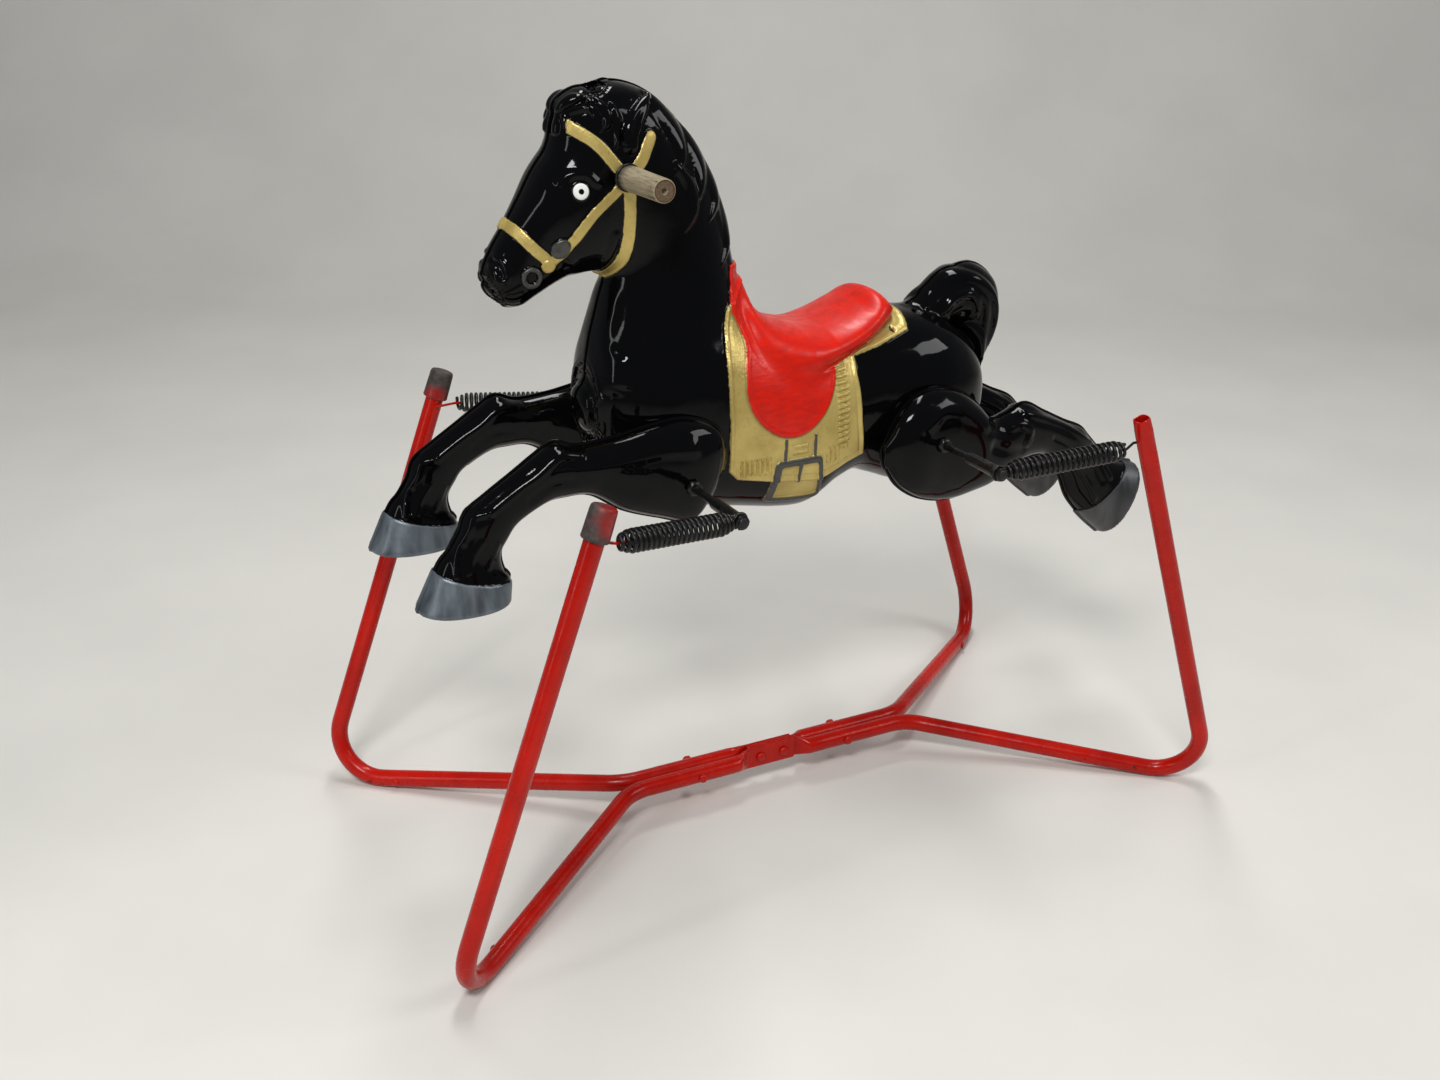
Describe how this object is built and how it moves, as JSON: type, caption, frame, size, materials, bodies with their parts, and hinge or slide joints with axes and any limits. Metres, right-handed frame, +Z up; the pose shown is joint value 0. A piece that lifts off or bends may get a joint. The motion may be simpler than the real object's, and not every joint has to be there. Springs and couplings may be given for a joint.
{
  "type": "rocking horse",
  "caption": "Pressed-steel toy horse hung by coil springs from a bent tubular stand, with foot bars and wooden hand grips.",
  "frame": {"origin": "on the floor at the middle of the stand", "axes": "+Z up, the horse faces -X, its left side is on -Y"},
  "size_m": [0.8988, 0.4766, 0.789],
  "materials": {
    "stand_red": "glossy signal red enamel, worn to bare metal at the feet and bolts",
    "horse_black": "mirror-gloss black enamel",
    "saddle_red": "glossy red enamel over the pressed saddle",
    "harness_gold": "pale brass-gold paint over the pressed blanket and bridle",
    "hoof_silver": "silver-grey paint over the pressed hooves",
    "satin_black": "satin black steel",
    "cap_rubber": "black rubber with worn red overspray",
    "grip_wood": "weathered grey turned wood"
  },
  "bodies": {
    "stand": {"stand_tube_front_left": "stand_red", "stand_tube_front_right": "stand_red", "stand_tube_rear_left": "stand_red", "stand_tube_rear_right": "stand_red", "post_cap_front_left": "cap_rubber", "post_cap_front_right": "cap_rubber", "post_cap_rear_right": "cap_rubber", "foot_stud_front_left": "stand_red", "foot_stud_front_right": "stand_red", "foot_stud_rear_left": "stand_red", "foot_stud_rear_right": "stand_red", "bolt_lap_front": "stand_red", "nut_lap_front": "stand_red", "bolt_lap_rear": "stand_red", "nut_lap_rear": "stand_red", "bolt_cross_front": "stand_red", "nut_cross_front": "stand_red", "bolt_cross_rear": "stand_red", "nut_cross_rear": "stand_red"},
    "front_bar": {"front_foot_bar": "satin_black", "front_bar_collar_left": "satin_black", "front_bar_sleeve_left": "satin_black", "front_bar_nut_left": "satin_black", "front_bar_collar_right": "satin_black", "front_bar_sleeve_right": "satin_black", "front_bar_nut_right": "satin_black"},
    "horse": {"rear_foot_bar": "satin_black", "rear_bar_collar_left": "satin_black", "rear_bar_sleeve_left": "satin_black", "rear_bar_nut_left": "satin_black", "rear_bar_collar_right": "satin_black", "rear_bar_sleeve_right": "satin_black", "rear_bar_nut_right": "satin_black", "body_shell_left": "horse_black", "body_shell_right": "horse_black", "leg_front_left_outer": "horse_black", "leg_front_left_inner": "horse_black", "leg_front_right_outer": "horse_black", "leg_front_right_inner": "horse_black", "leg_rear_left_outer": "horse_black", "leg_rear_left_inner": "horse_black", "leg_rear_right_outer": "horse_black", "leg_rear_right_inner": "horse_black", "grip_rod": "satin_black", "grip_left": "grip_wood", "grip_right": "grip_wood", "grip_washer_left": "satin_black", "grip_washer_right": "satin_black"},
    "front_springs": {"spring_front_left": "satin_black", "spring_front_right": "satin_black", "hook_front_left": "satin_black", "hook_front_right": "satin_black"},
    "rear_hooks": {"hook_rear_left": "satin_black", "hook_rear_right": "satin_black"},
    "rear_springs": {"spring_rear_left": "satin_black", "spring_rear_right": "satin_black"}
  },
  "joints": [
    {"name": "bounce", "type": "slide", "parent": "stand", "child": "front_bar", "axis": [0, 0, 1], "range_m": [-0.045, 0.02], "stiffness_N_per_m": 4000, "springref_m": 0.0135, "deforming": ["spring_front_left", "spring_front_right"]},
    {"name": "rock", "type": "hinge", "parent": "front_bar", "child": "horse", "pos_m": [-0.152, 0, 0.424], "axis": [0, 1, 0], "range_deg": [-8, 8], "stiffness_Nm_per_rad": 170, "springref_deg": -2.58, "deforming": ["spring_rear_left", "spring_rear_right"]},
    {"name": "front_spring_swing", "type": "hinge", "parent": "stand", "child": "front_springs", "pos_m": [-0.3058, 0, 0.435], "axis": [0, 1, 0], "range_deg": [-9, 18]},
    {"name": "rear_hook_swing", "type": "hinge", "parent": "stand", "child": "rear_hooks", "pos_m": [0.3058, 0, 0.435], "axis": [0, 1, 0], "range_deg": [-17, 9]},
    {"name": "rear_spring_swing", "type": "hinge", "parent": "rear_hooks", "child": "rear_springs", "pos_m": [0.3058, 0, 0.435], "axis": [0, 1, 0], "range_deg": [-15, 15]}
  ],
  "couplings": [
    {"joint": "front_spring_swing", "follows": "bounce", "rad_per_m": -6.5},
    {"joint": "rear_hook_swing", "follows": "bounce", "rad_per_m": 5.96},
    {"joint": "rear_spring_swing", "follows": "rock", "ratio": -1.728}
  ]
}
